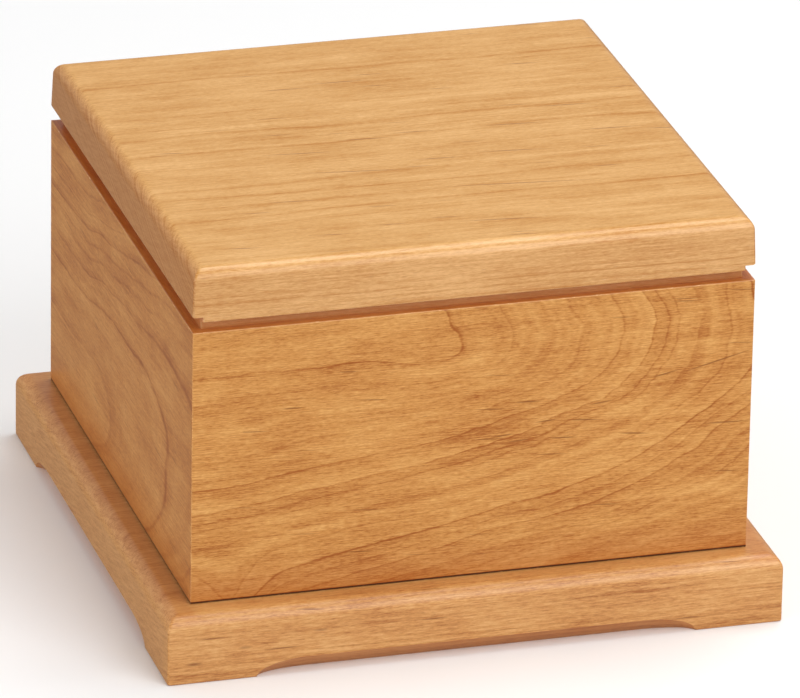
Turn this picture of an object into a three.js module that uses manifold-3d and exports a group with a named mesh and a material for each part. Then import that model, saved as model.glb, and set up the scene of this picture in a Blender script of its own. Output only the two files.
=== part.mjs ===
// Lidded wooden urn box: a mitred four-board body on a solid base board, under a lift-off lid.
// Millimetres, +Z up, front towards -Y. The origin is on the underside, below the middle of the body.

import * as THREE from 'three';
import { mergeVertices } from 'three/addons/utils/BufferGeometryUtils.js';
import Module from 'manifold-3d';

// Body: four boards around a square chamber
const BODY_SIDE = 203.2;
const WALL_HEIGHT = 102.5;
const WALL_THICKNESS = 12.7;

// Base board: how far it stands out past the body, and its rounded top edge
const BASE_THICKNESS = 25.4;
const BASE_MARGIN = 10.7;
const BASE_EDGE_RADIUS = 5.5;

// Arched bevel under each side of the base, between two corner feet
const FOOT_LENGTH = 32;
const ARCH_HEIGHT = 6;
const ARCH_INSET = 5.7;
const ARCH_END_LENGTH = 19.5;

// Lid: the face that shows, its rounded top edge and the slight lean of its sides
const LID_FACE_HEIGHT = 17.4;
const LID_EDGE_RADIUS = 4.8;
const LID_LEAN = 0.45;

// Rabbets under the lid. The side ones are taller and run through from front to back
const SIDE_RABBET_HEIGHT = 5.6;
const SIDE_RABBET_DEPTH = 3.6;
const END_RABBET_HEIGHT = 3.6;
const END_RABBET_DEPTH = 3.4;

// Step under the lid that drops inside the walls
const LIP_DEPTH = 5.5;
const LIP_CLEARANCE = 0.6;

// Steps in each rounded edge and in each curved end of an arch, and how far a cutter reaches past the wood
const CURVE_STEPS = 8;
const CUTTER_REACH = 5;

const bodyHalf = BODY_SIDE / 2;
const chamberHalf = bodyHalf - WALL_THICKNESS;
const baseHalf = bodyHalf + BASE_MARGIN;
const lidHeight = SIDE_RABBET_HEIGHT + LID_FACE_HEIGHT;

const wasm = await Module();
wasm.setup();

function toSolid(geometry) {
  const bare = geometry.clone();
  bare.deleteAttribute('normal');
  bare.deleteAttribute('uv');
  const merged = mergeVertices(bare);
  const vertProperties = new Float32Array(merged.attributes.position.array);
  const triVerts = new Uint32Array(merged.index.array);
  return new wasm.Manifold(new wasm.Mesh({ numProp: 3, vertProperties, triVerts }));
}

function toGeometry(solid) {
  const mesh = solid.getMesh();
  const geometry = new THREE.BufferGeometry();
  geometry.setAttribute('position', new THREE.BufferAttribute(mesh.vertProperties, 3));
  geometry.setIndex(new THREE.BufferAttribute(mesh.triVerts, 1));
  geometry.computeVertexNormals();
  return geometry;
}

// A board is where two bars cross: one has the outline seen from the front, the other the outline
// seen from the side. Its rounded edges meet in a mitre at the corners.
function crossedBars(frontOutline, sideOutline, length) {
  const options = { depth: length, bevelEnabled: false, curveSegments: CURVE_STEPS };
  const alongY = new THREE.ExtrudeGeometry(frontOutline, options);
  alongY.translate(0, 0, -length / 2);
  alongY.rotateX(Math.PI / 2);
  const alongX = new THREE.ExtrudeGeometry(sideOutline, options);
  alongX.translate(0, 0, -length / 2);
  alongX.rotateX(Math.PI / 2);
  alongX.rotateZ(Math.PI / 2);
  return toSolid(alongY).intersect(toSolid(alongX));
}

// Half the outline goes up the right side, and its mirror image comes down the left.
function baseOutline() {
  const outline = new THREE.Shape();
  const arcCentre = baseHalf - BASE_EDGE_RADIUS;
  const arcLevel = BASE_THICKNESS - BASE_EDGE_RADIUS;
  outline.moveTo(-baseHalf, 0);
  outline.lineTo(baseHalf, 0);
  outline.lineTo(baseHalf, arcLevel);
  outline.absarc(arcCentre, arcLevel, BASE_EDGE_RADIUS, 0, Math.PI / 2, false);
  outline.lineTo(-arcCentre, BASE_THICKNESS);
  outline.absarc(-arcCentre, arcLevel, BASE_EDGE_RADIUS, Math.PI / 2, Math.PI, false);
  outline.lineTo(-baseHalf, 0);
  return outline;
}

// Level 0 is the top of the walls, where the lid rests.
function lidOutline(rabbetHeight, rabbetDepth) {
  const lipHalf = chamberHalf - LIP_CLEARANCE;
  const tongueHalf = bodyHalf - rabbetDepth;
  const shoulderHalf = bodyHalf - LID_LEAN;
  const arcCentre = shoulderHalf - LID_EDGE_RADIUS;
  const arcLevel = lidHeight - LID_EDGE_RADIUS;
  const outline = new THREE.Shape();
  outline.moveTo(-lipHalf, -LIP_DEPTH);
  outline.lineTo(lipHalf, -LIP_DEPTH);
  outline.lineTo(lipHalf, 0);
  outline.lineTo(tongueHalf, 0);
  outline.lineTo(tongueHalf, rabbetHeight);
  outline.lineTo(bodyHalf, rabbetHeight);
  outline.lineTo(shoulderHalf, arcLevel);
  outline.absarc(arcCentre, arcLevel, LID_EDGE_RADIUS, 0, Math.PI / 2, false);
  outline.lineTo(-arcCentre, lidHeight);
  outline.absarc(-arcCentre, arcLevel, LID_EDGE_RADIUS, Math.PI / 2, Math.PI, false);
  outline.lineTo(-bodyHalf, rabbetHeight);
  outline.lineTo(-tongueHalf, rabbetHeight);
  outline.lineTo(-tongueHalf, 0);
  outline.lineTo(-lipHalf, 0);
  outline.lineTo(-lipHalf, -LIP_DEPTH);
  return outline;
}

// The arch is a bevel whose depth fades to nothing at the feet. Its cutter is the outline of the
// bevel's depth, pushed along the slope and laid on the lower front edge.
function archCutter() {
  const slope = Math.hypot(ARCH_HEIGHT, ARCH_INSET);
  const bevelDepth = ARCH_HEIGHT * ARCH_INSET / slope;
  const archHalf = baseHalf - FOOT_LENGTH;
  const flatHalf = archHalf - ARCH_END_LENGTH;
  const outline = new THREE.Shape();
  outline.moveTo(archHalf, -CUTTER_REACH);
  outline.lineTo(archHalf, 0);
  outline.absellipse(flatHalf, 0, ARCH_END_LENGTH, bevelDepth, 0, Math.PI / 2, false);
  outline.lineTo(-flatHalf, bevelDepth);
  outline.absellipse(-flatHalf, 0, ARCH_END_LENGTH, bevelDepth, Math.PI / 2, Math.PI, false);
  outline.lineTo(-archHalf, -CUTTER_REACH);
  outline.lineTo(archHalf, -CUTTER_REACH);
  const length = 2 * (slope + CUTTER_REACH);
  const options = { depth: length, bevelEnabled: false, curveSegments: CURVE_STEPS };
  const cutter = new THREE.ExtrudeGeometry(outline, options);
  cutter.translate(0, 0, -length / 2);
  cutter.rotateX(Math.atan2(ARCH_INSET, ARCH_HEIGHT));
  cutter.translate(0, -baseHalf, 0);
  return cutter;
}

function makeBase() {
  let board = crossedBars(baseOutline(), baseOutline(), 2 * (baseHalf + CUTTER_REACH));
  const cutter = archCutter();
  for (let side = 0; side < 4; side += 1) {
    board = board.subtract(toSolid(cutter));
    cutter.rotateZ(Math.PI / 2);
  }
  const material = new THREE.MeshStandardMaterial({ color: 0xd2995f, roughness: 0.42, metalness: 0 });
  const mesh = new THREE.Mesh(toGeometry(board), material);
  mesh.name = 'base';
  return mesh;
}

// A wall is drawn as the front one, mitred at both ends, and turned about the middle of the body.
function makeWall(name, quarterTurns) {
  const outline = new THREE.Shape();
  outline.moveTo(-bodyHalf, -bodyHalf);
  outline.lineTo(bodyHalf, -bodyHalf);
  outline.lineTo(chamberHalf, -chamberHalf);
  outline.lineTo(-chamberHalf, -chamberHalf);
  outline.lineTo(-bodyHalf, -bodyHalf);
  const geometry = new THREE.ExtrudeGeometry(outline, { depth: WALL_HEIGHT, bevelEnabled: false });
  const material = new THREE.MeshStandardMaterial({ color: 0xce965a, roughness: 0.42, metalness: 0 });
  const mesh = new THREE.Mesh(geometry, material);
  mesh.name = name;
  mesh.rotation.z = quarterTurns * Math.PI / 2;
  return mesh;
}

function makeLid() {
  const frontOutline = lidOutline(SIDE_RABBET_HEIGHT, SIDE_RABBET_DEPTH);
  const sideOutline = lidOutline(END_RABBET_HEIGHT, END_RABBET_DEPTH);
  const board = crossedBars(frontOutline, sideOutline, BODY_SIDE + 2 * CUTTER_REACH);
  const material = new THREE.MeshStandardMaterial({ color: 0xe0ae73, roughness: 0.38, metalness: 0 });
  const mesh = new THREE.Mesh(toGeometry(board), material);
  mesh.name = 'lid';
  return mesh;
}

function topOf(object) {
  return new THREE.Box3().setFromObject(object).max.z;
}

const base = makeBase();

const walls = new THREE.Group();
walls.add(makeWall('front_wall', 0));
walls.add(makeWall('right_wall', 1));
walls.add(makeWall('back_wall', 2));
walls.add(makeWall('left_wall', 3));
walls.position.z = topOf(base);

const lid = makeLid();
lid.position.z = topOf(walls);

const urnBox = new THREE.Group();
urnBox.add(base, walls, lid);

export default urnBox;
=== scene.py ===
import math

import bpy
from mathutils import Matrix, Vector


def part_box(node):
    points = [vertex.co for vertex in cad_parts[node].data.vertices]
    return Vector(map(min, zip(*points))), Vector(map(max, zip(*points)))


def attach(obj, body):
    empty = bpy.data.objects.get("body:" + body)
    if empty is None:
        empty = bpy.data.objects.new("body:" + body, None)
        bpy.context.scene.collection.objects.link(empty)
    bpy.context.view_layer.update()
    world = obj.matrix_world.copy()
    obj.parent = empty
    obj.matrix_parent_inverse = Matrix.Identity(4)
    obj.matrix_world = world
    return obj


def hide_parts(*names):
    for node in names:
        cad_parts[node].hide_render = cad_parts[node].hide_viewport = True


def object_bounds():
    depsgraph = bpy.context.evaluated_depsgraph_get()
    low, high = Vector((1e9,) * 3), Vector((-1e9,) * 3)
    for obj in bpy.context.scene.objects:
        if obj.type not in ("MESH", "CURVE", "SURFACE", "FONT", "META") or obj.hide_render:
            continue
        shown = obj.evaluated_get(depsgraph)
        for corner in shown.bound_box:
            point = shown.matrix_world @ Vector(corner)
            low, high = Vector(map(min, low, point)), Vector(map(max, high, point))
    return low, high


bl_info = {
    "name": "Urn Box",
    "version": (1, 0, 0),
    "blender": (4, 5, 0),
    "location": "View3D > Sidebar > Urn Box",
    "description": "Builds a lidded alder urn box on its packed frame",
    "category": "Add Mesh",
}

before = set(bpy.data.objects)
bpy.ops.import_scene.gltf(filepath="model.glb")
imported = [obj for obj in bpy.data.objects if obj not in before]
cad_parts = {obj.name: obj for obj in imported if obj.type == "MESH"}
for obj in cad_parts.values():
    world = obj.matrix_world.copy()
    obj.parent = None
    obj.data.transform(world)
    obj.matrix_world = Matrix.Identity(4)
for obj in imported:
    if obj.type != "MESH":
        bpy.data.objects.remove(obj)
cad_low, cad_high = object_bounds()

MM = 0.001

# The kinds of node that the trees have most of
MATH = "ShaderNodeMath"
VECTOR_MATH = "ShaderNodeVectorMath"
MAP_RANGE = "ShaderNodeMapRange"

# The frame's own boxes give every size that the solids already hold
base_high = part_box("base")[1]
wall_low, wall_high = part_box("front_wall")
lid_low, lid_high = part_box("lid")
BODY_HALF = wall_high.x
BASE_HALF = base_high.x
WALL_THICKNESS = wall_high.y - wall_low.y
SEAT_LEVEL = wall_high.z

# The ways along the grain, across it and into the wood, where the grain runs from left to right
FLAT_BOARD = ((1, 0, 0), (0, -1, 0), (0, 0, -1))
# A level above the whole box, in millimetres
EVERYWHERE = 999


def linear(code):
    """An sRGB hex colour as linear RGBA."""
    parts = [int(code[i:i + 2], 16) / 255 for i in (1, 3, 5)]
    return [p / 12.92 if p <= 0.04045 else ((p + 0.055) / 1.055) ** 2.4 for p in parts] + [1.0]


def swatch(name, description, code):
    """A colour property whose default is an sRGB hex colour."""
    return bpy.props.FloatVectorProperty(
        name=name, description=description, subtype="COLOR", size=3, min=0, max=1,
        default=linear(code)[:3])


class UrnColours(bpy.types.PropertyGroup):
    """Colours of the stained alder, from its pale wood to its dark rings, and of the painted shade in its
    recesses
    """

    front_pale: swatch("Front Pale", "Palest wood of the front and back", "#e3ab63")
    front_middle: swatch("Front Middle", "Main colour of the front and back", "#ca8a42")
    front_dark: swatch("Front Dark", "Rings of the front and back", "#a25510")
    side_pale: swatch("Side Pale", "Palest wood of the left and right walls", "#dca058")
    side_middle: swatch("Side Middle", "Main colour of the left and right walls", "#c4803a")
    side_dark: swatch("Side Dark", "Rings of the left and right walls", "#a3591a")
    lid_pale: swatch("Lid Pale", "Palest wood of the lid", "#ebb775")
    lid_middle: swatch("Lid Middle", "Main colour of the lid", "#d49d56")
    lid_dark: swatch("Lid Dark", "Rings of the lid", "#bb771c")
    base_pale: swatch("Base Pale", "Palest wood of the base", "#e5b070")
    base_middle: swatch("Base Middle", "Main colour of the base", "#d19452")
    base_dark: swatch("Base Dark", "Rings of the base", "#a96429")
    streak: swatch("Streak", "Pores and hairline streaks", "#80440e")
    end_grain: swatch("End Grain", "What the ends of the fibres lean towards", "#9a4a1c")
    edge_grain: swatch("Edge Grain", "What the long edges of the lid and base lean towards", "#c8987a")
    # Painted shade and warm bounce light in the rabbets, on the walls' tops and lowest band, on the base's
    # side ledges and under its arches, and the joint's stain
    stain_and_shade: swatch("Stain And Shade", "Stain left in the rabbets", "#b65616")
    # Joint: stain in the joint between walls and base, darkened further as painted shade of the crevice
    joint: swatch("Joint", "Stain left in the joint between walls and base", "#4a1c06")
    # Paler wood along the arrises: partly rubbed wear, partly a painted highlight along the edges
    worn: swatch("Worn", "Wood that shows along the rubbed arrises", "#f0c690")


class UrnSizes(bpy.types.PropertyGroup):
    """Sizes of the edges, rabbets and arches, which the frame's boxes don't give"""

    arris: bpy.props.FloatProperty(
        name="Arris", description="Radius of the sanded edges", default=0.5 * MM, unit="LENGTH")
    corner: bpy.props.FloatProperty(
        name="Corner", description="Radius of the upright corners", default=1.0 * MM, unit="LENGTH")
    lid_edge: bpy.props.FloatProperty(
        name="Lid Edge", description="Radius of the lid's top edge", default=4.8 * MM, unit="LENGTH")
    lid_lean: bpy.props.FloatProperty(
        name="Lid Lean", description="How far the lid's faces lean in", default=0.45 * MM, unit="LENGTH")
    side_rabbet_height: bpy.props.FloatProperty(
        name="Side Rabbet Height", description="Gap under the lid's left and right edges",
        default=5.6 * MM, unit="LENGTH")
    side_rabbet_depth: bpy.props.FloatProperty(
        name="Side Rabbet Depth", description="Depth of that gap", default=3.6 * MM, unit="LENGTH")
    end_rabbet_height: bpy.props.FloatProperty(
        name="End Rabbet Height", description="Gap under the lid's front and back edges",
        default=3.6 * MM, unit="LENGTH")
    end_rabbet_depth: bpy.props.FloatProperty(
        name="End Rabbet Depth", description="Depth of that gap", default=3.4 * MM, unit="LENGTH")
    lip_clearance: bpy.props.FloatProperty(
        name="Lip Clearance", description="Play between the lid's hidden step and the walls",
        default=0.6 * MM, unit="LENGTH")
    score: bpy.props.FloatProperty(
        name="Score", description="Depth of the fine line along the foot of the lid's face",
        default=0.15 * MM, unit="LENGTH")
    base_edge: bpy.props.FloatProperty(
        name="Base Edge", description="Radius of the base board's top edge", default=5.5 * MM, unit="LENGTH")
    foot: bpy.props.FloatProperty(
        name="Foot", description="Length of each corner foot", default=32 * MM, unit="LENGTH")
    arch_height: bpy.props.FloatProperty(
        name="Arch Height", description="Height of the arched bevel", default=6 * MM, unit="LENGTH")
    arch_inset: bpy.props.FloatProperty(
        name="Arch Inset", description="How far the bevel reaches under the board",
        default=5.7 * MM, unit="LENGTH")
    arch_end: bpy.props.FloatProperty(
        name="Arch End", description="Length of each curved end of an arch",
        default=19.5 * MM, unit="LENGTH")


def add(tree, kind, links=None, **settings):
    """Adds one node. Settings are its own properties, and links fill its inputs with values or sockets."""
    made = tree.nodes.new(kind)
    for key, value in settings.items():
        setattr(made, key, value)
    for key, value in (links or {}).items():
        if isinstance(value, bpy.types.Node):
            value = value.outputs[0]
        if isinstance(value, bpy.types.NodeSocket):
            tree.links.new(value, made.inputs[key])
        else:
            made.inputs[key].default_value = value
    return made


def chain(tree, kind, value, *steps):
    """Puts a value through a row of maths nodes. Each step is an operation and its other values."""
    for operation, *others in steps:
        value = add(tree, kind, dict(enumerate([value, *others])), operation=operation)
    return value


def socket(tree, name, kind, way="INPUT", default=None):
    """Adds one socket to a group's outside."""
    made = tree.interface.new_socket(name, in_out=way, socket_type="NodeSocket" + kind)
    if default is not None:
        made.default_value = default


def arc(centre, radius, start, end, steps):
    """Points on an arc of a profile, as (inset, level), with angles in quarter turns."""
    points = []
    for k in range(steps + 1):
        turn = (start + (end - start) * k / steps) * math.pi / 2
        points.append((centre[0] + radius * math.cos(turn), centre[1] + radius * math.sin(turn)))
    return points


def rounded_ring(half_x, half_y, corner, level, steps=6):
    """An upright-cornered rectangle with rounded corners, as points going round from the front left."""
    ring = []
    for quarter, (way_x, way_y) in enumerate([(-1, -1), (1, -1), (1, 1), (-1, 1)]):
        middle_x, middle_y = way_x * (half_x - corner), way_y * (half_y - corner)
        for k in range(steps + 1):
            turn = math.pi + math.pi / 2 * (quarter + k / steps)
            ring.append((middle_x + corner * math.cos(turn), middle_y + corner * math.sin(turn), level))
    return ring


def loft(name, rings):
    """A closed mesh through rings of equally many points, from the lowest up, with flat caps."""
    count = len(rings[0])
    faces = [tuple(reversed(range(count)))]
    for j in range(len(rings) - 1):
        low = j * count
        for i in range(count):
            after = (i + 1) % count
            faces.append((low + i, low + after, low + count + after, low + count + i))
    faces.append(tuple(range((len(rings) - 1) * count, len(rings) * count)))
    mesh = bpy.data.meshes.new(name)
    mesh.from_pydata([point for ring in rings for point in ring], [], faces)
    mesh.validate()
    return mesh


def finish_piece(name, mesh, material, node):
    """Shades a mesh smooth between its arrises and puts it in its node's place."""
    mesh.materials.clear()
    mesh.materials.append(material)
    mesh.shade_smooth()
    mesh.set_sharp_from_angle(angle=math.radians(33))
    piece = bpy.data.objects.new(name, mesh)
    bpy.context.scene.collection.objects.link(piece)
    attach(piece, "root")
    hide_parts(node)


def grain_noise(tree, place, size, links, **settings):
    """A noise with spots of a size in millimetres: along the grain, across it and into the board."""
    spot = add(tree, VECTOR_MATH, {0: place, 1: [1 / length for length in size]}, operation="MULTIPLY")
    return add(tree, "ShaderNodeTexNoise", {"Vector": spot, "Scale": 1, **links}, **settings)


def far_from(tree, place, middle, factors):
    """How far a place lies from a middle, with each way stretched by its own factor."""
    off = chain(tree, VECTOR_MATH, place, ("SUBTRACT", middle), ("MULTIPLY", factors))
    return add(tree, VECTOR_MATH, {0: off}, operation="LENGTH").outputs["Value"]


def dashes(tree, place, cell, factors, core):
    """One dash in each cell of a stretched pattern, and a random number for each cell.

    A dash is 1 in its core, which is given as a share of the way out, and 0 past its rim. Each
    factor is the cell's size over half the dash's.
    """
    spot = add(tree, VECTOR_MATH, {0: place, 1: [1 / length for length in cell]}, operation="MULTIPLY")
    cells = add(tree, "ShaderNodeTexVoronoi", {"Vector": spot, "Scale": 1})
    far = far_from(tree, spot, cells.outputs["Position"], factors)
    dash = add(tree, MAP_RANGE, {"Value": far, "From Min": 1.0, "From Max": core})
    return dash, add(tree, "ShaderNodeSeparateColor", {"Color": cells.outputs["Color"]})


def alder_group(colours):
    """Alder under a honey stain and satin lacquer: the parts of the finish that every board shares.

    Place is in millimetres along the grain, across the board and into it. Rings is the distance
    across the growth rings, and Line is 1 on a dark late-wood line.
    """
    tree = bpy.data.node_groups.new("alder_finish", "ShaderNodeTree")
    tint = {name: [*getattr(colours, name), 1.0] for name in colours.__annotations__}
    socket(tree, "Place", "Vector")
    for name in ("Rings", "Line", "Marks", "Streaks", "End", "End Stain", "Edge", "Stain And Shade", "Arris"):
        socket(tree, name, "Float")
    for name in ("Pale", "Middle", "Dark"):
        socket(tree, name, "Color")
    socket(tree, "Colour", "Color", "OUTPUT")
    socket(tree, "Roughness", "Float", "OUTPUT")
    socket(tree, "Normal", "Vector", "OUTPUT")
    given = add(tree, "NodeGroupInput").outputs
    place = given["Place"]

    # Fibres 9 mm long and half a millimetre wide, a finer and shorter set, and long strands
    fibres = grain_noise(tree, place, (9, 0.55, 0.55), {"Detail": 3, "Roughness": 0.6})
    fine = grain_noise(tree, place, (2.4, 0.4, 0.4), {"Detail": 2, "Roughness": 0.7})
    strands = grain_noise(tree, place, (70, 1.1, 1.1), {"Detail": 1})
    # Ring lines blur on the ends of the fibres, where fine ones show instead and stain sinks in
    along = add(tree, MAP_RANGE, {"Value": given["End"], "To Min": 1.0, "To Max": 0.2})
    sunk = add(tree, MATH, {0: given["End"], 1: given["End Stain"]}, operation="MULTIPLY")
    hatch = add(tree, "ShaderNodeTexNoise",
                {"W": given["Rings"], "Scale": 0.3, "Detail": 3, "Roughness": 0.75},
                noise_dimensions="1D")
    hatch_share = add(tree, MATH, {0: sunk, 1: 3.4, 2: 0.12}, operation="MULTIPLY_ADD")
    hatch = chain(tree, MATH, hatch, ("SUBTRACT", 0.5), ("MULTIPLY", hatch_share))
    # Flecks on the ends of the fibres, 11 mm long and a millimetre wide, at a slant to the face
    slanted = add(tree, "ShaderNodeMapping", {"Vector": place, "Rotation": (math.radians(11), 0, 0)})
    flecks = grain_noise(tree, slanted, (40, 11, 1), {"Detail": 2, "Roughness": 0.6})
    flecks = chain(tree, MATH, flecks, ("SUBTRACT", 0.5), ("MULTIPLY", given["End"]))
    # Soft bands between the lines, and slow clouds where the stain took unevenly
    bands = add(tree, "ShaderNodeTexNoise",
                {"W": given["Rings"], "Scale": 0.2, "Detail": 3, "Roughness": 0.6},
                noise_dimensions="1D")
    clouds = grain_noise(tree, place, (45, 14, 14), {"Detail": 3, "Roughness": 0.6})
    slow = add(tree, MATH, {0: bands, 1: 0.6, 2: -0.85}, operation="MULTIPLY_ADD")
    slow = add(tree, MATH, {0: clouds, 1: 1.1, 2: slow}, operation="MULTIPLY_ADD")
    # Each line fades in and out along its way
    fade = add(tree, MAP_RANGE,
               {"Value": clouds, "From Min": 0.35, "From Max": 0.6, "To Min": 1.15, "To Max": 0.6})
    line = chain(tree, MATH, given["Line"], ("MULTIPLY", fade), ("MULTIPLY", along))
    # The tone is their sum, each with its own weight, from 0 on the darkest wood to 1 on the palest
    tone = hatch
    weights = ((flecks, 1.5), (fibres, 1.2), (strands, 0.5), (fine, 1.5), (slow, along), (line, -0.8))
    for part, weight in weights:
        tone = add(tree, MATH, {0: part, 1: weight, 2: tone}, operation="MULTIPLY_ADD")
    tone = add(tree, MAP_RANGE, {"Value": tone, "From Min": 0.96, "From Max": 2.16})
    middle = add(tree, MAP_RANGE, {"Value": tone, "From Max": 0.5})
    pale = add(tree, MAP_RANGE, {"Value": tone, "From Min": 0.5, "From Max": 1.0})

    # Pores up to 2.7 mm long, one in each cell at most, dark where stain gathered in them
    pore, pick = dashes(tree, place, (4, 0.9, 0.9), (3, 5, 5), 0.4)
    share = add(tree, MAP_RANGE, {"Value": pick, "From Min": 0.55, "From Max": 1.0})
    pore = add(tree, MATH, {0: pore, 1: share}, operation="MULTIPLY")
    # Hairline streaks up to 14 mm long, at a slight slant to the grain, in some cells only
    slanted = add(tree, "ShaderNodeMapping", {"Vector": place, "Rotation": (0, 0, math.radians(-4))})
    streak, pick = dashes(tree, slanted, (22, 3.4, 3.4), (3.2, 12, 4), 0.3)
    share = add(tree, MATH, {0: pick, 1: given["Streaks"]}, operation="LESS_THAN")
    streak = chain(tree, MATH, streak, ("MULTIPLY", share), ("MAXIMUM", given["Marks"]))
    marks = add(tree, MATH, {0: pore, 1: 0.4, 2: streak}, operation="MULTIPLY_ADD", use_clamp=True)
    marks = add(tree, MATH, {0: marks, 1: 0.75}, operation="MULTIPLY")
    # End grain drinks more stain, so it is a shade darker and redder
    end = add(tree, MATH, {0: sunk, 1: 0.6}, operation="MULTIPLY")
    # Painted shade, tinted by warm bounce light, in the rabbets and other recesses; in the joint it turns
    # nearly black, as stain in the joint plus painted shade of the crevice
    joint = add(tree, MAP_RANGE, {"Value": given["Stain And Shade"], "From Min": 0.6, "To Max": 1.0})
    # The arrises are paler, partly worn by sanding and handling with a few small chips along them, and
    # partly a painted highlight along each edge
    chips = add(tree, MAP_RANGE, {"Value": fine, "From Min": 0.6, "From Max": 0.7, "To Min": 0.2})
    worn = add(tree, MATH, {0: given["Arris"], 1: chips}, operation="MULTIPLY")
    # Each layer covers its share of the ones before it
    layers = (
        (middle, given["Middle"]), (pale, given["Pale"]), (marks, tint["streak"]),
        (end, tint["end_grain"]), (given["Edge"], tint["edge_grain"]), (given["Stain And Shade"], tint["stain_and_shade"]),
        (joint, tint["joint"]), (worn, tint["worn"]),
    )
    colour = given["Dark"]
    for share, layer in layers:
        colour = add(tree, "ShaderNodeMix", {0: share, 6: colour, 7: layer}, data_type="RGBA").outputs[2]

    # Lacquer fills the grain but still dips a few hundredths of a millimetre between the fibres
    relief = add(tree, MATH, {0: fine, 1: 0.6, 2: fibres}, operation="MULTIPLY_ADD")
    bump = add(tree, "ShaderNodeBump", {"Height": relief, "Strength": 0.15, "Distance": 0.05 * MM})
    gloss = add(tree, MAP_RANGE, {"Value": fine, "To Min": 0.28, "To Max": 0.38})
    add(tree, "NodeGroupOutput", {"Colour": colour, "Roughness": gloss, "Normal": bump})
    return tree


def line_curve(tree, rings, lines, nearest, furthest):
    """A curve over the ring distance that peaks on each late-wood line and falls off slowly outwards.

    Each line is (distance, strength, width) in millimetres.
    """
    share = add(tree, MAP_RANGE, {"Value": rings, "From Min": nearest, "From Max": furthest})
    curve = add(tree, "ShaderNodeFloatCurve", {"Value": share})
    points = curve.mapping.curves[0].points
    points[0].location, points[1].location = (0, 0), (1, 0)
    for distance, strength, width in lines:
        profile = ((-0.32, 0.0), (0.0, 1.35 * strength), (0.35, 0.28 * strength), (width, 0.0))
        for offset, height in profile:
            points.new((distance + offset - nearest) / (furthest - nearest), height)
    for point in points:
        point.handle_type = "VECTOR"
    curve.mapping.update()
    return curve


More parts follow.
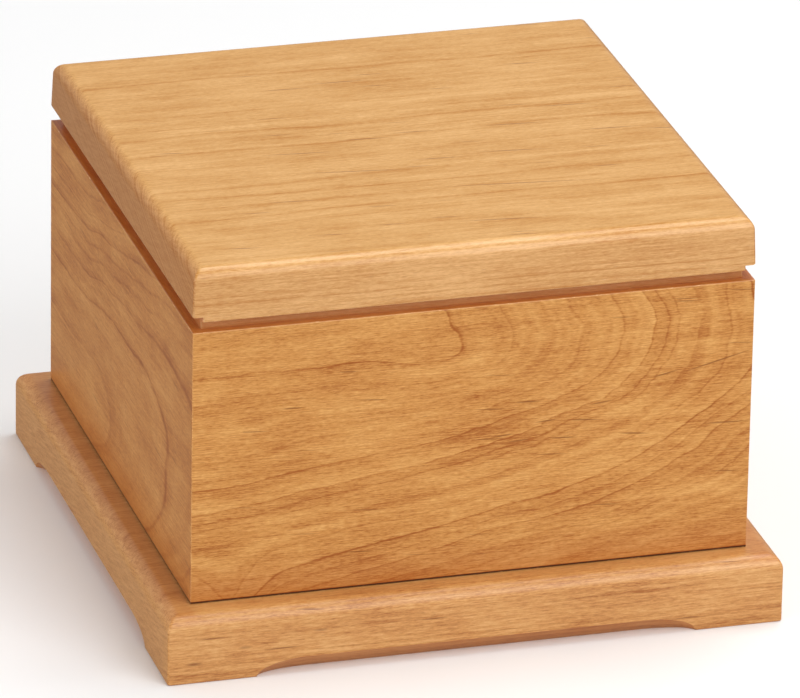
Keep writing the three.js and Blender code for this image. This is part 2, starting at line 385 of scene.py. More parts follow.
def cathedral_group():
    """Distance across the rings of a flat-sawn board: long limbs that close in a nose along the grain.

    Fan spreads the limbs, Lean draws them up past Lean Start, and Drop lowers the noses' middle line.
    A dip is where the rings swerve round a place that a twig once grew from, and the ripple zone is
    where they run in small steps.
    """
    tree = bpy.data.node_groups.new("cathedral_rings", "ShaderNodeTree")
    for name in ("Place", "Dip Middle", "Ripple Middle"):
        socket(tree, name, "Vector")
    for name in ("Fan", "Lean", "Lean Start", "Lean Above", "Drop", "Recurve", "Nose Start",
                 "Nose Factor", "Nose Power", "Roundness", "Dip Depth", "Seed"):
        socket(tree, name, "Float")
    socket(tree, "Rings", "Float", "OUTPUT")
    given = add(tree, "NodeGroupInput").outputs
    # Slow waves a few millimetres deep
    wave = grain_noise(tree, given["Place"], (40, 22, 22),
                       {"W": given["Seed"], "Detail": 1.5, "Roughness": 0.5}, noise_dimensions="4D")
    wave = chain(tree, VECTOR_MATH, wave.outputs["Color"],
                 ("SUBTRACT", (0.5, 0.5, 0.5)), ("MULTIPLY", (12, 7, 0)))
    # Small ripples, which are deeper in the ripple zone
    zone = far_from(tree, given["Place"], given["Ripple Middle"], (1 / 50, 1 / 20, 0))
    zone = add(tree, MAP_RANGE,
               {"Value": zone, "From Min": 1.0, "From Max": 0.3, "To Min": 1.0, "To Max": 2.6})
    ripple = grain_noise(tree, given["Place"], (9, 4, 4), {"Detail": 2})
    ripple = chain(tree, VECTOR_MATH, ripple.outputs["Color"],
                   ("SUBTRACT", (0.5, 0.5, 0.5)), ("MULTIPLY", (2.4, 1.3, 0)))
    ripple = add(tree, VECTOR_MATH, {0: ripple, "Scale": zone}, operation="SCALE")
    place = chain(tree, VECTOR_MATH, given["Place"], ("ADD", wave), ("ADD", ripple))
    along, across, through = add(tree, "ShaderNodeSeparateXYZ", {0: place}).outputs

    # The limbs: how far a place lies above or below the noses' middle line
    spread = add(tree, MATH, {0: along, 1: given["Fan"], 2: 1}, operation="MULTIPLY_ADD")
    lean = chain(tree, MATH, along,
                 ("SUBTRACT", given["Lean Start"]), ("MAXIMUM", 0), ("MULTIPLY", given["Lean"]))
    above = add(tree, MATH, {0: across, 1: given["Lean Above"]}, operation="SUBTRACT")
    above = add(tree, MAP_RANGE, {"Value": above, "From Max": 30})
    drop = add(tree, MAP_RANGE, {"Value": along, "From Min": 55, "From Max": 95},
               interpolation_type="SMOOTHSTEP")
    below = add(tree, MATH, {0: 1, 1: above}, operation="SUBTRACT")
    drop = chain(tree, MATH, drop, ("MULTIPLY", below), ("MULTIPLY", given["Drop"]))
    limb = add(tree, MATH, {0: across, 1: spread}, operation="MULTIPLY")
    limb = add(tree, MATH, {0: lean, 1: above, 2: limb}, operation="MULTIPLY_ADD")
    limb = chain(tree, MATH, limb, ("SUBTRACT", drop), ("ABSOLUTE",), ("POWER", given["Roundness"]))

    # The nose: how far it lies past the noses' start, which curves back near the board's top
    nose = chain(tree, MATH, along, ("SUBTRACT", given["Nose Start"]), ("MAXIMUM", 0),
                 ("POWER", given["Nose Power"]), ("MULTIPLY", given["Nose Factor"]))
    near_top = chain(tree, MATH, 11, ("SUBTRACT", across), ("MAXIMUM", 0))
    nose = add(tree, MATH, {0: near_top, 1: given["Recurve"], 2: nose}, operation="MULTIPLY_ADD")
    nose = add(tree, MATH, {0: nose, 1: given["Roundness"]}, operation="POWER")

    root = add(tree, MATH, {0: 1, 1: given["Roundness"]}, operation="DIVIDE")
    rings = chain(tree, MATH, limb, ("ADD", nose), ("POWER", root))
    rings = add(tree, MATH, {0: through, 1: 0.8, 2: rings}, operation="MULTIPLY_ADD")
    dip = far_from(tree, given["Place"], given["Dip Middle"], (1 / 22, 1 / 26, 0))
    dip = add(tree, MAP_RANGE, {"Value": dip, "From Min": 1.0, "From Max": 0.0})
    dip = chain(tree, MATH, dip, ("POWER", 1.5), ("MULTIPLY", given["Dip Depth"]))
    rings = add(tree, MATH, {0: rings, 1: dip}, operation="SUBTRACT")
    add(tree, "NodeGroupOutput", {"Rings": rings})
    return tree


def straight_group():
    """Distance across the rings of a board whose rings slope through it, in nearly straight lines."""
    tree = bpy.data.node_groups.new("straight_rings", "ShaderNodeTree")
    socket(tree, "Place", "Vector")
    socket(tree, "Tilt", "Float")
    socket(tree, "Wave", "Float")
    socket(tree, "Rings", "Float", "OUTPUT")
    given = add(tree, "NodeGroupInput").outputs
    wave = grain_noise(tree, given["Place"], (110, 30, 30), {"Detail": 3, "Roughness": 0.45})
    parts = add(tree, "ShaderNodeSeparateXYZ", {0: given["Place"]}).outputs
    rings = add(tree, MATH, {0: wave, 1: given["Wave"], 2: parts["Y"]}, operation="MULTIPLY_ADD")
    rings = add(tree, MATH, {0: given["Wave"], 1: -0.5, 2: rings}, operation="MULTIPLY_ADD")
    rings = add(tree, MATH, {0: parts["Z"], 1: given["Tilt"], 2: rings}, operation="MULTIPLY_ADD")
    add(tree, "NodeGroupOutput", {"Rings": rings})
    return tree


def mark_group():
    """One long hairline streak that lies on the board's face, 1 in its middle and 0 past its ends."""
    tree = bpy.data.node_groups.new("long_streak", "ShaderNodeTree")
    for name in ("Place", "Middle"):
        socket(tree, name, "Vector")
    for name in ("Slant", "Length", "Others"):
        socket(tree, name, "Float")
    socket(tree, "Marks", "Float", "OUTPUT")
    given = add(tree, "NodeGroupInput").outputs
    off = add(tree, VECTOR_MATH, {0: given["Place"], 1: given["Middle"]}, operation="SUBTRACT")
    off = add(tree, "ShaderNodeVectorRotate", {"Vector": off, "Angle": given["Slant"]},
              rotation_type="Z_AXIS")
    along = add(tree, MATH, {0: 2, 1: given["Length"]}, operation="DIVIDE")
    factors = add(tree, "ShaderNodeCombineXYZ", {0: along, 1: 2.8, 2: 2.8})
    off = add(tree, VECTOR_MATH, {0: off, 1: factors}, operation="MULTIPLY")
    far = add(tree, VECTOR_MATH, {0: off}, operation="LENGTH").outputs["Value"]
    mark = add(tree, MAP_RANGE, {"Value": far, "From Min": 1.0, "From Max": 0.35})
    mark = add(tree, MATH, {0: mark, 1: given["Others"]}, operation="MAXIMUM")
    add(tree, "NodeGroupOutput", {"Marks": mark})
    return tree


def wall_joint_and_shade(tree, level, normal):
    """Where a wall is darkened: stain in the joint at its foot plus painted shade of that crevice, painted
    warm bounce light faintly above it, and painted shade on its top.
    """
    joint = wall_low.z / MM
    # The joint at the foot: stain in the joint, darkened further as painted shade of the crevice
    foot = add(tree, MAP_RANGE, {"Value": level, "From Min": joint + 1.2, "From Max": joint + 0.7})
    # Painted warm bounce light and shade on the lowest 15 mm, standing for light thrown off the base's ledge
    above = add(tree, MAP_RANGE,
                {"Value": level, "From Min": joint + 15, "From Max": joint + 2, "To Max": 0.25})
    # Painted shade on the wall's top, which lies in the rabbet under the lid's overhang
    top = add(tree, MAP_RANGE, {"Value": normal["Z"], "From Min": 0.6, "From Max": 0.9, "To Max": 0.5})
    return chain(tree, MATH, foot, ("MAXIMUM", above), ("MAXIMUM", top))


def lid_rabbet_shade(tree, level, normal):
    """Painted shade on the lid, in the rabbets all round, below the faces that show."""
    seat = SEAT_LEVEL / MM
    # Painted shade and warm bounce light on the whole tongue below the front and back rabbets' height
    front = add(tree, MAP_RANGE,
                {"Value": level, "From Min": seat + 3.7, "From Max": seat + 3.5, "To Max": 0.42})
    # Painted shade on the tongue's left and right faces, up to the taller side rabbets' height
    low = add(tree, MAP_RANGE,
              {"Value": level, "From Min": seat + 5.6, "From Max": seat + 5.4, "To Max": 0.4})
    return chain(tree, MATH, normal["X"],
                 ("ABSOLUTE",), ("GREATER_THAN", 0.6), ("MULTIPLY", low), ("MAXIMUM", front))


def base_ledge_and_arch_shade(tree, level, normal):
    """Painted shade on the base: with warm bounce light on its ledge's left and right ends beside the body,
    and under the arches.
    """
    place = add(tree, "ShaderNodeTexCoord").outputs["Object"]
    side = add(tree, "ShaderNodeSeparateXYZ", {0: place}).outputs["X"]
    side = add(tree, MATH, {0: side}, operation="ABSOLUTE")
    # Painted shadow of the body on the left and right ledges, tinted by warm light thrown off the walls
    side = add(tree, MAP_RANGE,
               {"Value": side, "From Min": BODY_HALF - 2 * MM, "From Max": BODY_HALF + MM, "To Max": 0.24})
    top = add(tree, MAP_RANGE, {"Value": normal["Z"], "From Min": 0.4, "From Max": 1.0})
    # Painted shade on the underside of the arched bevels
    under = add(tree, MAP_RANGE,
                {"Value": normal["Z"], "From Min": -0.2, "From Max": -0.6, "To Max": 0.4})
    return chain(tree, MATH, side, ("MULTIPLY", top), ("MAXIMUM", under))


def board_material(name, wood, start, axes, rings, figure, lines, span, marks, streaks, end_stain,
                   stain_and_shade, worn_below, edge_tone=0):
    """One board of honey-stained alder.

    Start is the board's zero point, and axes are the ways of its grain, of its width and into the
    wood. What the eye gets is a warm satin board whose dark late-wood lines follow its own cut
    from the tree. Each mark is (along, across, into, slant in degrees, length) in millimetres.
    Arrises are paler, as rubbed wear and a painted highlight, below one level only, and edge_tone is the
    share of edge grain on long edges.
    """
    groups = bpy.data.node_groups
    material = bpy.data.materials.new(name)
    material.use_nodes = True
    tree = material.node_tree
    whole = add(tree, "ShaderNodeTexCoord").outputs["Object"]
    scaled = add(tree, VECTOR_MATH, {0: whole, 1: (1 / MM,) * 3}, operation="MULTIPLY")
    height = add(tree, "ShaderNodeSeparateXYZ", {0: scaled}).outputs["Z"]
    moved = add(tree, VECTOR_MATH, {0: scaled, 1: start}, operation="SUBTRACT")
    place = add(tree, "ShaderNodeCombineXYZ")
    for axis, part in zip(axes, place.inputs):
        way = add(tree, VECTOR_MATH, {0: moved, 1: axis}, operation="DOT_PRODUCT")
        tree.links.new(way.outputs["Value"], part)
    cut = add(tree, "ShaderNodeGroup", {"Place": place, **figure}, node_tree=groups[rings])
    line = line_curve(tree, cut.outputs["Rings"], lines, *span)

    # How squarely the surface shows the ends of the fibres, and how squarely a long edge
    surface = add(tree, "ShaderNodeNewGeometry").outputs["Normal"]
    facing = []
    for axis in axes[:2]:
        way = add(tree, VECTOR_MATH, {0: surface, 1: axis}, operation="DOT_PRODUCT")
        facing.append(add(tree, MATH, {0: way.outputs["Value"]}, operation="ABSOLUTE"))
    end = add(tree, MAP_RANGE, {"Value": facing[0], "From Min": 0.2, "From Max": 0.9})
    edge = add(tree, MAP_RANGE,
               {"Value": facing[1], "From Min": 0.5, "From Max": 0.95, "To Max": edge_tone})
    # An arris is where the surface faces none of the three main ways
    faces = add(tree, VECTOR_MATH, {0: surface}, operation="ABSOLUTE")
    faces = add(tree, "ShaderNodeSeparateXYZ", {0: faces}).outputs
    most = chain(tree, MATH, faces["X"], ("MAXIMUM", faces["Y"]), ("MAXIMUM", faces["Z"]))
    arris = add(tree, MAP_RANGE, {"Value": most, "From Min": 0.97, "From Max": 0.85})
    low = add(tree, MATH, {0: height, 1: worn_below}, operation="LESS_THAN")
    arris = add(tree, MATH, {0: arris, 1: low}, operation="MULTIPLY")

    others = 0.0
    for along, across, into, slant, length in marks:
        others = add(tree, "ShaderNodeGroup", {
            "Place": place, "Middle": (along, across, into), "Slant": -math.radians(slant),
            "Length": length, "Others": others,
        }, node_tree=groups["long_streak"])
    colours = bpy.context.scene.urn_colours
    tones = {tone: [*getattr(colours, f"{wood}_{tone.lower()}"), 1.0] for tone in ("Pale", "Middle", "Dark")}
    normal = add(tree, "ShaderNodeSeparateXYZ", {0: surface}).outputs
    # The stain-and-shade mask is this board's painted shade in its recesses, with the walls' joint
    finish = add(tree, "ShaderNodeGroup", {
        "Place": place, "Rings": cut, "Line": line, "Marks": others, "Streaks": streaks, "End": end,
        "End Stain": end_stain, "Edge": edge, "Stain And Shade": stain_and_shade(tree, height, normal), "Arris": arris,
        **tones,
    }, node_tree=groups["alder_finish"])
    shader = tree.nodes["Principled BSDF"]
    for output, key in zip(finish.outputs, ("Base Color", "Roughness", "Normal")):
        tree.links.new(output, shader.inputs[key])
    shader.inputs["IOR"].default_value = 1.5
    return material


def ease_group():
    """Rounds one arris: a point outside the arc around the arris's centre is drawn in onto it."""
    tree = bpy.data.node_groups.new("ease_arris", "GeometryNodeTree")
    for name in ("First", "Second", "Arris"):
        socket(tree, name, "Float")
    socket(tree, "First", "Float", "OUTPUT")
    socket(tree, "Second", "Float", "OUTPUT")
    given = add(tree, "NodeGroupInput").outputs
    first, second, arris = given["First"], given["Second"], given["Arris"]
    past_first = add(tree, MATH, {0: first, 1: 0}, operation="MAXIMUM")
    past_second = add(tree, MATH, {0: second, 1: 0}, operation="MAXIMUM")
    pair = add(tree, "ShaderNodeCombineXYZ", {0: past_first, 1: past_second})
    far = add(tree, VECTOR_MATH, {0: pair}, operation="LENGTH").outputs["Value"]
    far = add(tree, MATH, {0: far, 1: arris}, operation="MAXIMUM")
    shrink = chain(tree, MATH, arris, ("DIVIDE", far), ("SUBTRACT", 1))
    first = add(tree, MATH, {0: past_first, 1: shrink, 2: first}, operation="MULTIPLY_ADD")
    second = add(tree, MATH, {0: past_second, 1: shrink, 2: second}, operation="MULTIPLY_ADD")
    add(tree, "NodeGroupOutput", {0: first, 1: second})
    return tree


def wall_tree():
    """One mitred wall board, with its outer arrises eased, turned to its side of the body."""
    ease = ease_group()
    tree = bpy.data.node_groups.new("mitred_wall", "GeometryNodeTree")
    socket(tree, "Half Side", "Float", default=BODY_HALF)
    socket(tree, "Thickness", "Float", default=WALL_THICKNESS)
    socket(tree, "Low", "Float", default=wall_low.z)
    socket(tree, "High", "Float", default=wall_high.z)
    socket(tree, "Arris", "Float", default=0.5 * MM)
    socket(tree, "Turn", "Float")
    socket(tree, "Material", "Material")
    socket(tree, "Geometry", "Geometry", "OUTPUT")
    given = add(tree, "NodeGroupInput").outputs
    half, low, high, arris = given["Half Side"], given["Low"], given["High"], given["Arris"]
    block = add(tree, "GeometryNodeMeshCube",
                {"Size": (2, 2, 2), "Vertices X": 57, "Vertices Y": 9, "Vertices Z": 49})
    # Rows crowd towards the edges, where the arrises are round
    spot = add(tree, "GeometryNodeInputPosition")
    spot = add(tree, VECTOR_MATH, {0: spot, 1: (math.pi / 2,) * 3}, operation="MULTIPLY")
    spot = add(tree, VECTOR_MATH, {0: spot}, operation="SINE")
    share = add(tree, "ShaderNodeSeparateXYZ", {0: spot}).outputs
    inner = add(tree, MATH, {0: half, 1: given["Thickness"]}, operation="SUBTRACT")
    out = add(tree, MAP_RANGE,
              {"Value": share["Y"], "From Min": -1, "From Max": 1, "To Min": half, "To Max": inner})
    side = add(tree, MATH, {0: share["X"], 1: out}, operation="MULTIPLY")
    level = add(tree, MAP_RANGE,
                {"Value": share["Z"], "From Min": -1, "From Max": 1, "To Min": low, "To Max": high})
    # Upright corner, then the top and bottom arris, each measured past the centre of its arc
    centre = add(tree, MATH, {0: half, 1: arris}, operation="SUBTRACT")
    sign = add(tree, MATH, {0: side}, operation="SIGN")
    reach = chain(tree, MATH, side, ("ABSOLUTE",), ("SUBTRACT", centre))
    depth = add(tree, MATH, {0: out, 1: centre}, operation="SUBTRACT")
    eased = add(tree, "GeometryNodeGroup", {0: reach, 1: depth, 2: arris}, node_tree=ease).outputs
    side = chain(tree, MATH, eased[0], ("ADD", centre), ("MULTIPLY", sign))
    top = add(tree, MATH, {0: high, 1: arris}, operation="SUBTRACT")
    above = add(tree, MATH, {0: level, 1: top}, operation="SUBTRACT")
    eased = add(tree, "GeometryNodeGroup", {0: above, 1: eased[1], 2: arris}, node_tree=ease).outputs
    level = add(tree, MATH, {0: eased[0], 1: top}, operation="ADD")
    bottom = add(tree, MATH, {0: low, 1: arris}, operation="ADD")
    below = add(tree, MATH, {0: bottom, 1: level}, operation="SUBTRACT")
    eased = add(tree, "GeometryNodeGroup", {0: below, 1: eased[1], 2: arris}, node_tree=ease).outputs
    level = add(tree, MATH, {0: bottom, 1: eased[0]}, operation="SUBTRACT")
    out = chain(tree, MATH, eased[1], ("ADD", centre), ("MULTIPLY", -1))
    spot = add(tree, "ShaderNodeCombineXYZ", {0: side, 1: out, 2: level})
    board = add(tree, "GeometryNodeSetPosition", {"Geometry": block.outputs["Mesh"], "Position": spot})
    turn = add(tree, "ShaderNodeCombineXYZ", {2: given["Turn"]})
    board = add(tree, "GeometryNodeTransform", {"Geometry": board, "Rotation": turn})
    board = add(tree, "GeometryNodeRealizeInstances", {0: board})
    board = add(tree, "GeometryNodeSetMaterial", {"Geometry": board, "Material": given["Material"]})
    add(tree, "NodeGroupOutput", {"Geometry": board})
    return tree


def grown_mesh(name, tree, values):
    """The mesh that a geometry tree grows from the given inputs."""
    seed = bpy.data.objects.new(name + "_seed", bpy.data.meshes.new(name + "_seed"))
    bpy.context.scene.collection.objects.link(seed)
    modifier = seed.modifiers.new("grow", "NODES")
    modifier.node_group = tree
    for item in tree.interface.items_tree:
        if item.in_out == "INPUT" and item.name in values:
            modifier[item.identifier] = values[item.name]
    bpy.context.view_layer.update()
    ready = seed.evaluated_get(bpy.context.evaluated_depsgraph_get())
    mesh = bpy.data.meshes.new_from_object(ready)
    seed.modifiers.remove(modifier)
    bpy.data.objects.remove(seed)
    mesh.name = name
    return mesh


class URN_OT_walls(bpy.types.Operator):
    """Builds the four mitred boards of the body"""

    bl_idname = "urn.walls"
    bl_label = "Walls"

    def execute(self, context):
        sizes = context.scene.urn_sizes
        tree = wall_tree()
        # Late-wood lines as (ring distance, strength, width)
        front_lines = (
            (17.6, 0.8, 4), (31, 0.2, 3), (49, 0.55, 4), (60, 0.6, 3), (69, 0.55, 2.5), (73, 0.5, 2),
            (76, 0.5, 3), (82.4, 0.5, 3), (90, 0.45, 4), (98, 0.6, 4), (103, 0.4, 3), (108, 0.8, 4),
            (116, 0.9, 4), (121, 0.5, 3),
        )
        side_lines = (
            (16, 0.7, 4), (36, 0.7, 4), (45.5, 0.8, 3), (52, 0.5, 2), (57, 0.5, 2), (62, 0.6, 2.5),
            (68, 0.6, 3), (75, 0.6, 3), (83, 0.5, 3),
        )
        front_marks = (
            (190, 29.5, 0, -14, 30), (194, 53.3, 0, 2, 19), (171, 32.5, 0, -12, 12),
            (160, 54, 0, 6, 12), (142, 47, 0, 5, 13), (121, 38, 0, 2, 12), (128, 46, 0, -3, 9),
            (134, 53, 0, 3, 12), (112, 50, 0, -4, 10), (36, 31.7, 0, 2, 9), (148, 41, 0, -6, 10),
            (118, 52.5, 0, -3, 10), (56, 20, 0, 3, 8),
        )
        # The front is cut close to the knot of a twig, and its noses close at the right
        front_figure = {
            "Fan": 0.0016, "Lean": 0.06, "Lean Start": 20, "Lean Above": 14, "Drop": 9, "Recurve": 0.3,
            "Nose Start": 71, "Nose Factor": 0.72, "Nose Power": 1.0, "Roundness": 3.0,
            "Dip Depth": 15, "Dip Middle": (14, 102, 0), "Ripple Middle": (136, 46, 0), "Seed": 0.0,
        }
        side_figure = {
            "Fan": -0.0011, "Lean": 0.15, "Lean Start": 58, "Lean Above": -200, "Nose Start": 58,
            "Nose Factor": 1.97, "Nose Power": 0.616, "Roundness": 2.6, "Seed": 4.0,
            "Ripple Middle": (120, -40, 0),
        }
        edge = BODY_HALF / MM
        top = SEAT_LEVEL / MM
        down = (0, 0, -1)
        boards = (
            ("front", "front", (-edge, -edge, top), ((1, 0, 0), down, (0, 1, 0)),
             front_figure, front_lines, front_marks),
            ("right", "side", (edge, -edge, top - 40), ((0, 1, 0), down, (-1, 0, 0)),
             {**side_figure, "Seed": 9.0}, side_lines, ()),
            ("back", "front", (edge, edge, top), ((-1, 0, 0), down, (0, -1, 0)),
             {**front_figure, "Seed": 6.0}, front_lines, ()),
            ("left", "side", (-edge, edge, top - 86), ((0, -1, 0), down, (1, 0, 0)),
             side_figure, side_lines, ()),
        )
        for turns, (name, wood, start, axes, figure, lines, marks) in enumerate(boards):
            material = board_material(
                f"alder_{name}", wood, start, axes, "cathedral_rings", figure, lines, span=(0, 130),
                marks=marks, streaks=0.12, end_stain=0.3, stain_and_shade=wall_joint_and_shade, worn_below=EVERYWHERE)
            mesh = grown_mesh(f"{name}_board", tree, {
                "Half Side": BODY_HALF, "Thickness": WALL_THICKNESS, "Low": wall_low.z,
                "High": wall_high.z, "Arris": sizes.arris, "Turn": turns * math.pi / 2,
                "Material": material,
            })
            finish_piece(f"{name}_board", mesh, material, f"{name}_wall")
        return {"FINISHED"}


def lid_rings(sizes):
    """The lid's outline at each level, from its hidden step up to the flat top."""
    ease, edge = sizes.arris, sizes.lid_edge
    lip = WALL_THICKNESS + sizes.lip_clearance
    side, end = sizes.side_rabbet_depth, sizes.end_rabbet_depth
    seat = SEAT_LEVEL
    strip = seat + sizes.end_rabbet_height
    notch = seat + sizes.side_rabbet_height
    shoulder = lid_high.z - edge
    levels = [(lip + ease, lip + ease, lid_low.z), (lip, lip, lid_low.z + ease), (lip, lip, seat)]
    levels += [(side, end, seat), (side, end, strip)]
    levels += [(side, inset, level) for inset, level in arc((ease, strip + ease), ease, -1, -2, 4)]
    levels += [(side, 0, notch - sizes.score), (side, sizes.score, notch)]
    levels += [
        (inset, sizes.score if k == 0 else 0, level)
        for k, (inset, level) in enumerate(arc((ease, notch + ease), ease, -1, -2, 4))
    ]
    levels += [(0, 0, notch + 2 * ease), (sizes.lid_lean, sizes.lid_lean, shoulder)]
    top = arc((sizes.lid_lean + edge, shoulder), edge, 2, 1, 18)
    levels += [(inset, inset, level) for inset, level in top[1:]]
    levels += [(sizes.lid_lean + 1.3 * edge,) * 2 + (lid_high.z,)]
    rings = []
    for inset_x, inset_y, level in levels:
        rings.append(rounded_ring(BODY_HALF - inset_x, BODY_HALF - inset_y, sizes.corner, level))
    return rings


class URN_OT_lid(bpy.types.Operator):
    """Builds the lift-off lid from one thick board"""

    bl_idname = "urn.lid"
    bl_label = "Lid"

    def execute(self, context):
        edge = BODY_HALF / MM
        # Lines on the top, from its back edge, and the closer ones that show on the left end
        lines = [
            (12, 0.4, 2), (19, 0.6, 3), (26, 0.4, 2), (31, 0.5, 3), (38, 0.3, 2), (44, 0.7, 3),
            (53, 0.65, 3), (62, 0.35, 2), (68, 0.45, 4), (75, 0.3, 2), (83, 0.5, 4), (91, 0.3, 2),
            (99, 0.45, 3), (110, 0.3, 3), (123, 0.5, 4), (132, 0.3, 3), (141, 0.7, 4), (150, 0.3, 2),
            (159, 0.6, 3), (171, 0.4, 3), (179, 0.3, 2), (186, 0.4, 3),
        ]
        lines += [(-70 + 8 * k, 0.5 + 0.2 * (k % 2), 4) for k in range(10)]
        marks = (
            (109, 97, 0, 3, 18), (90, 99.5, 0, 4, 22), (146, 98, 0, 4, 26), (64, 107.5, 0, 5, 30),
            (78, 128, 0, 7, 44), (138, 122, 0, 6, 30), (132, 152, 0, 6, 64), (117, 182.5, 0, 6, 32),
            (169, 84.6, 0, 4, 24), (110, 123, 0, 3, 20), (22, 187, 0, 6, 14), (198, 114, 0, 8, 18),
            (178, 109.5, 0, 3, 26), (20, 97, 0, 8, 12), (50, 150, 0, 5, 20), (96, 44.5, 0, 2, 26),
            (75, 47, 0, 2, 20), (165, 42, 0, 4, 16),
        )
        # Only the arrises at the foot of the lid's face, and those below it, are paler, as rubbed wear and a
        # painted highlight
        face_foot = SEAT_LEVEL / MM + 8.1
        material = board_material(
            "alder_lid", "lid", (-edge, edge, lid_high.z / MM), FLAT_BOARD, "straight_rings",
            {"Tilt": -3.3, "Wave": 14}, lines, span=(-80, 210), marks=marks, streaks=0.1,
            end_stain=0.8, stain_and_shade=lid_rabbet_shade, worn_below=face_foot, edge_tone=0.22)
        mesh = loft("lid_board", lid_rings(context.scene.urn_sizes))
        finish_piece("lid_board", mesh, material, "lid")
        return {"FINISHED"}


def base_columns(sizes):
    """Places along one side of the base, as (distance from its middle, share of the arch's depth)."""
    arch_half = BASE_HALF - sizes.foot
    steps = 14
    bends = [k * math.pi / 2 / steps for k in range(steps + 1)]
    curve = [(arch_half - sizes.arch_end * (1 - math.cos(bend)), math.sin(bend)) for bend in bends]
    flat = arch_half - sizes.arch_end
    middle = [(flat * k / 3, 1.0) for k in (-2, -1, 0, 1, 2)]
    foot = [(arch_half + (BASE_HALF - sizes.corner - arch_half) * k / 4, 0.0) for k in (1, 2, 3, 4)]
    right = list(reversed(curve)) + foot
    left = [(-place, share) for place, share in reversed(right)]
    return left + middle + right


def base_profile(sizes, share):
    """The base's edge as (inset, level), from under the board up and over to the body.

    Share is how much of its full depth the arch has there.
    """
    ease = 1.2 * sizes.arris
    under, up = share * sizes.arch_inset, share * sizes.arch_height
    points = [(sizes.arch_inset + 6 * ease, 0)]
    points += [(under + ease * k, 0) for k in (2.2, 1.2, 0.6, 0.3, 0)]
    points += [(under * (1 - way), up * way) for way in (0.1, 0.5, 0.9)]
    points += [(0, up + ease * k) for k in (0, 0.3, 0.6, 1.2, 2.2)]
    points = [rounded_foot(point, ease) for point in points]
    shoulder = base_high.z - sizes.base_edge
    points += [(0, (sizes.arch_height + shoulder) / 2 + 2 * ease), (0, shoulder - ease)]
    points += arc((sizes.base_edge, shoulder), sizes.base_edge, 2, 1, 18)
    points += [(sizes.base_edge + ease, base_high.z), (BASE_HALF - BODY_HALF + 4 * ease, base_high.z)]
    return points


def rounded_foot(point, ease):
    """Draws a point of the lower arris in onto its arc."""
    past = Vector((max(ease - point[0], 0), max(ease - point[1], 0)))
    if past.x > 0 and past.y > 0 and past.length > ease:
        past *= ease / past.length
        return (ease - past.x, ease - past.y)
    return point


def base_rings(sizes):
    """Rings round the base board, one for each point of its profile."""
    columns = base_columns(sizes)
    corner, steps = sizes.corner, 6
    keep = BASE_HALF - sizes.foot + 2 * corner
    profiles = [base_profile(sizes, share) for _, share in columns]
    plain = base_profile(sizes, 0.0)
    rings = []
    for row, (corner_inset, corner_level) in enumerate(plain):
        ring = []
        for side in range(4):
            turn = Matrix.Rotation(side * math.pi / 2, 3, "Z")
            for (place, _), profile in zip(columns, profiles):
                inset, level = profile[row]
                end = BASE_HALF - inset - corner
                if abs(place) > keep:
                    share_out = (abs(place) - keep) / (BASE_HALF - corner - keep)
                    place = math.copysign(keep + share_out * (end - keep), place)
                ring.append(turn @ Vector((place, inset - BASE_HALF, level)))
            centre = BASE_HALF - corner_inset - corner
            for k in range(1, steps):
                bend = math.pi / 2 * (k / steps - 1)
                across, along = corner * math.cos(bend), corner * math.sin(bend)
                ring.append(turn @ Vector((centre + across, -centre + along, corner_level)))
        rings.append(ring)
    return rings


class URN_OT_base(bpy.types.Operator):
    """Builds the base board with its rounded edge and the arched bevel on each side"""

    bl_idname = "urn.base"
    bl_label = "Base"

    def execute(self, context):
        edge = BASE_HALF / MM
        lines = [(-70 + 8.5 * k, 0.2 + 0.12 * (k % 3), 4) for k in range(37)]
        # Streaks on the front edge, which lies a whole board's width from the back one
        marks = [
            (along, 2 * edge, into, 0, length)
            for along, into, length in ((16, 8.8, 11), (41, 15.2, 16), (96, 10, 12), (190, 20, 10))
        ]
        material = board_material(
            "alder_base", "base", (-edge, edge, base_high.z / MM), FLAT_BOARD, "straight_rings",
            {"Tilt": -2.4, "Wave": 20}, lines, span=(-80, 260), marks=marks, streaks=0.15,
            end_stain=0.1, stain_and_shade=base_ledge_and_arch_shade, worn_below=0, edge_tone=0.07)
        mesh = loft("base_board", base_rings(context.scene.urn_sizes))
        finish_piece("base_board", mesh, material, "base")
        return {"FINISHED"}


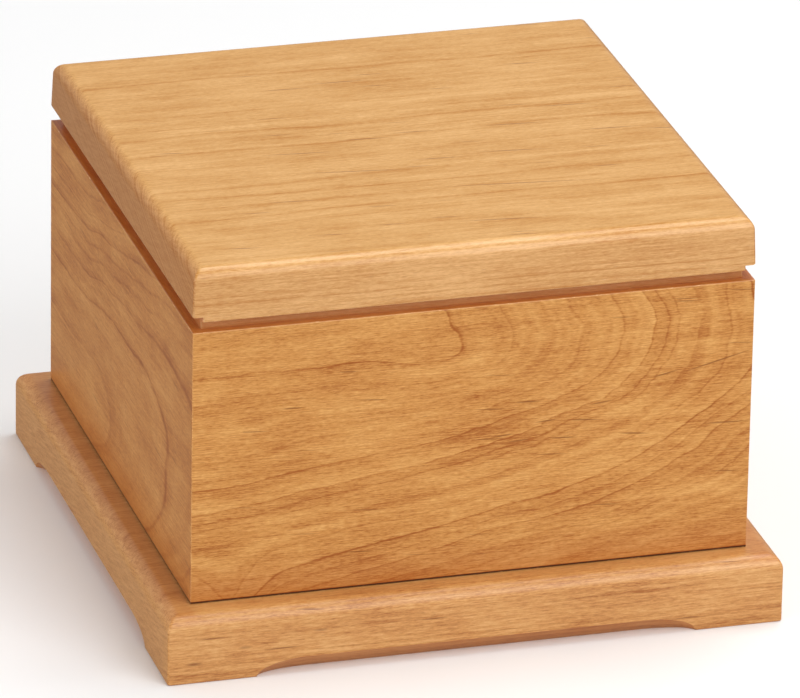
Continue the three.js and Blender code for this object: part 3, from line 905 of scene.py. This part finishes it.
class URN_OT_stage(bpy.types.Operator):
    """Sets the pale floor, the soft lights and the camera at the photograph's angle"""

    bl_idname = "urn.stage"
    bl_label = "Stage"

    def execute(self, context):
        scene = context.scene
        paper = bpy.data.materials.new("white_paper")
        paper.use_nodes = True
        shader = paper.node_tree.nodes["Principled BSDF"]
        shader.inputs["Base Color"].default_value = linear("#fafafa")
        shader.inputs["Roughness"].default_value = 0.9
        half = 12
        corners = [(-half, -half, 0), (half, -half, 0), (half, half, 0), (-half, half, 0)]
        mesh = bpy.data.meshes.new("floor")
        mesh.from_pydata(corners, [], [(0, 1, 2, 3)])
        mesh.materials.append(paper)
        floor = bpy.data.objects.new("floor", mesh)
        scene.collection.objects.link(floor)
        # The room below the table's edge is dim, and the wood's gloss mirrors that, not the paper
        floor.visible_glossy = False

        world = bpy.data.worlds.new("studio")
        world.use_nodes = True
        tree = world.node_tree
        light = tree.nodes["Background"]
        light.inputs["Color"].default_value = linear("#ffffff")
        way = add(tree, "ShaderNodeTexCoord").outputs["Generated"]
        height = add(tree, "ShaderNodeSeparateXYZ", {0: way}).outputs["Z"]
        strength = add(tree, MAP_RANGE, {
            "Value": height, "From Min": -0.08, "From Max": 0.04, "To Min": 0.2, "To Max": 0.5,
        })
        tree.links.new(strength.outputs[0], light.inputs["Strength"])
        scene.world = world
        light_at(scene, "key_softbox", azimuth=24, elevation=36, distance=1.9, size=1.3, power=16.2)
        light_at(scene, "top_softbox", azimuth=112, elevation=76, distance=2.0, size=1.1, power=18)
        light_at(scene, "left_fill", azimuth=-80, elevation=11, distance=2.6, size=0.8, power=14)

        # Fitted to the photograph's edges and corners
        target = Vector((-1.4, -13.09, 75)) * MM
        distance = 3.203
        roll = math.radians(-1.053)
        back = way_to(azimuth=-16.325, elevation=23.262)
        camera = bpy.data.objects.new("camera", bpy.data.cameras.new("camera"))
        camera.data.sensor_width = 36
        camera.data.lens = 403.44
        camera.data.clip_end = 50
        level = (-back).to_track_quat("-Z", "Y").to_matrix().to_4x4()
        spot = Matrix.Translation(target + back * distance)
        camera.matrix_world = spot @ level @ Matrix.Rotation(-roll, 4, "Z")
        scene.collection.objects.link(camera)
        scene.camera = camera
        scene.view_settings.view_transform = "Standard"
        return {"FINISHED"}


def way_to(azimuth, elevation):
    """The way to a place round the box, in degrees. Azimuth turns from the front towards the right."""
    turn, rise = math.radians(azimuth), math.radians(elevation)
    return Vector((math.sin(turn) * math.cos(rise), -math.cos(turn) * math.cos(rise), math.sin(rise)))


def light_at(scene, name, azimuth, elevation, distance, size, power):
    """A square softbox facing the box's middle. Azimuth turns from the front towards the right."""
    light = bpy.data.lights.new(name, "AREA")
    light.shape = "SQUARE"
    light.size = size
    light.energy = power
    lamp = bpy.data.objects.new(name, light)
    way = way_to(azimuth, elevation)
    aim = Vector((0, 0, cad_high.z / 2))
    turned = way.to_track_quat("Z", "Y").to_matrix().to_4x4()
    lamp.matrix_world = Matrix.Translation(aim + way * distance) @ turned
    scene.collection.objects.link(lamp)


class URN_PT_sidebar(bpy.types.Panel):
    """Lists the sizes, the colours and the steps in the 3D view's sidebar"""

    bl_idname = "URN_PT_sidebar"
    bl_label = "Urn Box"
    bl_space_type = "VIEW_3D"
    bl_region_type = "UI"
    bl_category = "Urn Box"

    def draw(self, context):
        for group in (context.scene.urn_sizes, context.scene.urn_colours):
            for name in group.__annotations__:
                self.layout.prop(group, name)
        for step in STEPS:
            self.layout.operator(step.bl_idname)


STEPS = (URN_OT_base, URN_OT_walls, URN_OT_lid, URN_OT_stage)
CLASSES = (UrnColours, UrnSizes, *STEPS, URN_PT_sidebar)


def register():
    for made in CLASSES:
        bpy.utils.register_class(made)
    bpy.types.Scene.urn_colours = bpy.props.PointerProperty(type=UrnColours)
    bpy.types.Scene.urn_sizes = bpy.props.PointerProperty(type=UrnSizes)


def unregister():
    del bpy.types.Scene.urn_sizes
    del bpy.types.Scene.urn_colours
    for made in reversed(CLASSES):
        bpy.utils.unregister_class(made)


def main():
    register()
    alder_group(bpy.context.scene.urn_colours)
    cathedral_group()
    straight_group()
    mark_group()
    bpy.ops.urn.base()
    bpy.ops.urn.walls()
    bpy.ops.urn.lid()
    bpy.ops.urn.stage()


if __name__ == "__main__":
    main()
